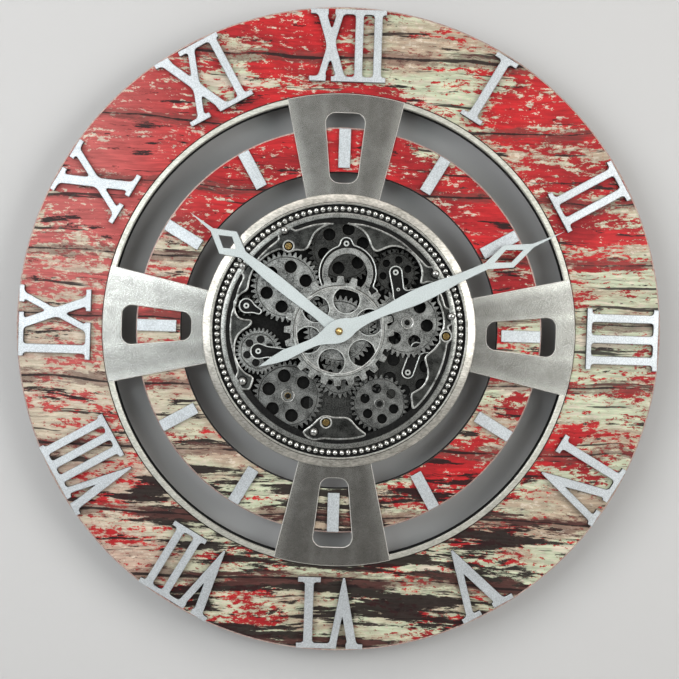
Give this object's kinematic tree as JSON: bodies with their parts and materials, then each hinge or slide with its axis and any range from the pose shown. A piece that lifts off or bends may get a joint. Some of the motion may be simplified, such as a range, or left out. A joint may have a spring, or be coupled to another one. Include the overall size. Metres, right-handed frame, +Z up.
{
  "type": "skeleton wall clock",
  "caption": "Round skeleton wall clock with Roman numerals on a printed wood ring, flared pewter spokes, a beaded bezel and a turning gear train behind spade hands.",
  "frame": {"origin": "on the hands' axis, in the plane of the wall that the clock hangs on", "axes": "the clock faces -Y, +Y points into the wall, +Z points up to twelve, +X points to three"},
  "size_m": [0.6, 0.0555, 0.6],
  "materials": {
    "printed_wood": "printed distressed paint, semi-matt",
    "antique_pewter": "antiqued, brushed",
    "satin_silver": "satin",
    "antique_silver": "antiqued, dark wash",
    "dark_silver": "dark wash",
    "blackened_plate": "matt black",
    "pale_paint": "fine grained silver paint",
    "black_plastic": "fine matt texture",
    "brass": "polished",
    "motor_steel": "plated",
    "dry_cell": "printed sleeve, gloss"
  },
  "bodies": {
    "case": {"outer_panel": "printed_wood", "inner_panel": "printed_wood", "spoke_frame": "antique_pewter", "bezel_ring": "satin_silver", "back_plate": "blackened_plate", "border_plate": "antique_silver", "gear_case": "black_plastic", "rear_cover": "black_plastic", "movement_case": "black_plastic", "centre_bush": "brass", "clock_battery": "dry_cell", "gear_battery": "dry_cell", "battery_tray": "black_plastic", "gear_motor": "motor_steel", "arch_bridge": "antique_silver", "left_cock": "antique_silver", "upper_right_cock": "antique_silver", "rear_cock": "antique_silver", "numeral_01": "pale_paint", "numeral_02": "pale_paint", "numeral_03": "pale_paint", "numeral_04": "pale_paint", "numeral_05": "pale_paint", "numeral_06": "pale_paint", "numeral_07": "pale_paint", "numeral_08": "pale_paint", "numeral_09": "pale_paint", "numeral_10": "pale_paint", "numeral_11": "pale_paint", "numeral_12": "pale_paint", "marker_01": "pale_paint", "marker_02": "pale_paint", "marker_03": "pale_paint", "marker_04": "pale_paint", "marker_05": "pale_paint", "marker_06": "pale_paint", "marker_07": "pale_paint", "marker_08": "pale_paint", "marker_09": "pale_paint", "marker_10": "pale_paint", "marker_11": "pale_paint", "marker_12": "pale_paint"},
    "minute_hand": {"minute_hand": "pale_paint", "hand_nut": "brass"},
    "hour_hand": {"hour_hand": "pale_paint"},
    "setting_knob": {"setting_knob": "black_plastic"},
    "centre_train": {"under_wheel": "antique_silver", "centre_wheel": "antique_silver"},
    "gear_battery_door": {"gear_battery_door": "black_plastic"},
    "upper_left_wheel": {"upper_left_wheel": "antique_silver"},
    "top_wheel": {"top_wheel": "dark_silver"},
    "upper_right_wheel": {"upper_right_wheel": "dark_silver"},
    "far_left_pinion": {"far_left_pinion": "dark_silver"},
    "right_wheel": {"right_wheel": "antique_silver"},
    "rear_wheel": {"rear_wheel": "dark_silver"},
    "motor_pinion": {"motor_pinion": "antique_silver"},
    "idler_wheel": {"idler_wheel": "antique_silver"},
    "lower_left_wheel": {"lower_left_wheel": "antique_silver"},
    "lower_right_wheel": {"lower_right_wheel": "antique_silver"},
    "left_wheel": {"left_wheel": "antique_silver"}
  },
  "joints": [
    {"name": "minute_hand_turn", "type": "hinge", "parent": "case", "child": "minute_hand", "pos_m": [0, 0, 0], "axis": [0, 1, 0], "continuous": true},
    {"name": "hour_hand_turn", "type": "hinge", "parent": "case", "child": "hour_hand", "pos_m": [0, 0, 0], "axis": [0, 1, 0], "continuous": true},
    {"name": "setting_knob_turn", "type": "hinge", "parent": "case", "child": "setting_knob", "pos_m": [0.014, 0, 0.0125], "axis": [0, 1, 0], "continuous": true},
    {"name": "centre_train_turn", "type": "hinge", "parent": "case", "child": "centre_train", "pos_m": [0, 0, 0], "axis": [0, 1, 0], "continuous": true},
    {"name": "upper_left_wheel_turn", "type": "hinge", "parent": "case", "child": "upper_left_wheel", "pos_m": [-0.05029, 0, 0.03958], "axis": [0, 1, 0], "continuous": true},
    {"name": "top_wheel_turn", "type": "hinge", "parent": "case", "child": "top_wheel", "pos_m": [0.00187, 0, 0.07665], "axis": [0, 1, 0], "continuous": true},
    {"name": "upper_right_wheel_turn", "type": "hinge", "parent": "case", "child": "upper_right_wheel", "pos_m": [0.05099, 0, 0.05601], "axis": [0, 1, 0], "continuous": true},
    {"name": "far_left_pinion_turn", "type": "hinge", "parent": "case", "child": "far_left_pinion", "pos_m": [-0.08667, 0, 0.02088], "axis": [0, 1, 0], "continuous": true},
    {"name": "right_wheel_turn", "type": "hinge", "parent": "case", "child": "right_wheel", "pos_m": [0.06325, 0, 0.00979], "axis": [0, 1, 0], "continuous": true},
    {"name": "rear_wheel_turn", "type": "hinge", "parent": "case", "child": "rear_wheel", "pos_m": [0.06553, 0, -0.03683], "axis": [0, 1, 0], "continuous": true},
    {"name": "motor_pinion_turn", "type": "hinge", "parent": "case", "child": "motor_pinion", "pos_m": [0.02709, 0, -0.05082], "axis": [0, 1, 0], "continuous": true},
    {"name": "idler_wheel_turn", "type": "hinge", "parent": "case", "child": "idler_wheel", "pos_m": [0.00151, 0, -0.04335], "axis": [0, 1, 0], "continuous": true},
    {"name": "lower_left_wheel_turn", "type": "hinge", "parent": "case", "child": "lower_left_wheel", "pos_m": [-0.04575, 0, -0.06197], "axis": [0, 1, 0], "continuous": true},
    {"name": "lower_right_wheel_turn", "type": "hinge", "parent": "case", "child": "lower_right_wheel", "pos_m": [0.0399, 0, -0.06687], "axis": [0, 1, 0], "continuous": true},
    {"name": "left_wheel_turn", "type": "hinge", "parent": "case", "child": "left_wheel", "pos_m": [-0.07442, 0, -0.02103], "axis": [0, 1, 0], "continuous": true},
    {"name": "gear_battery_door_lift", "type": "slide", "parent": "case", "child": "gear_battery_door", "axis": [0, 1, 0], "range_m": [0, 0.015]}
  ],
  "couplings": [
    {"joint": "hour_hand_turn", "follows": "minute_hand_turn", "ratio": 0.083333},
    {"joint": "setting_knob_turn", "follows": "minute_hand_turn", "ratio": -1},
    {"joint": "upper_left_wheel_turn", "follows": "centre_train_turn", "ratio": -1},
    {"joint": "top_wheel_turn", "follows": "centre_train_turn", "ratio": 1},
    {"joint": "upper_right_wheel_turn", "follows": "centre_train_turn", "ratio": -1.52},
    {"joint": "far_left_pinion_turn", "follows": "centre_train_turn", "ratio": 3.8},
    {"joint": "right_wheel_turn", "follows": "centre_train_turn", "ratio": -1},
    {"joint": "rear_wheel_turn", "follows": "centre_train_turn", "ratio": 0.44737},
    {"joint": "motor_pinion_turn", "follows": "centre_train_turn", "ratio": -1.7},
    {"joint": "idler_wheel_turn", "follows": "centre_train_turn", "ratio": -1.3182},
    {"joint": "lower_left_wheel_turn", "follows": "centre_train_turn", "ratio": 0.76316},
    {"joint": "lower_right_wheel_turn", "follows": "centre_train_turn", "ratio": 0.93548},
    {"joint": "left_wheel_turn", "follows": "centre_train_turn", "ratio": -1.381}
  ]
}
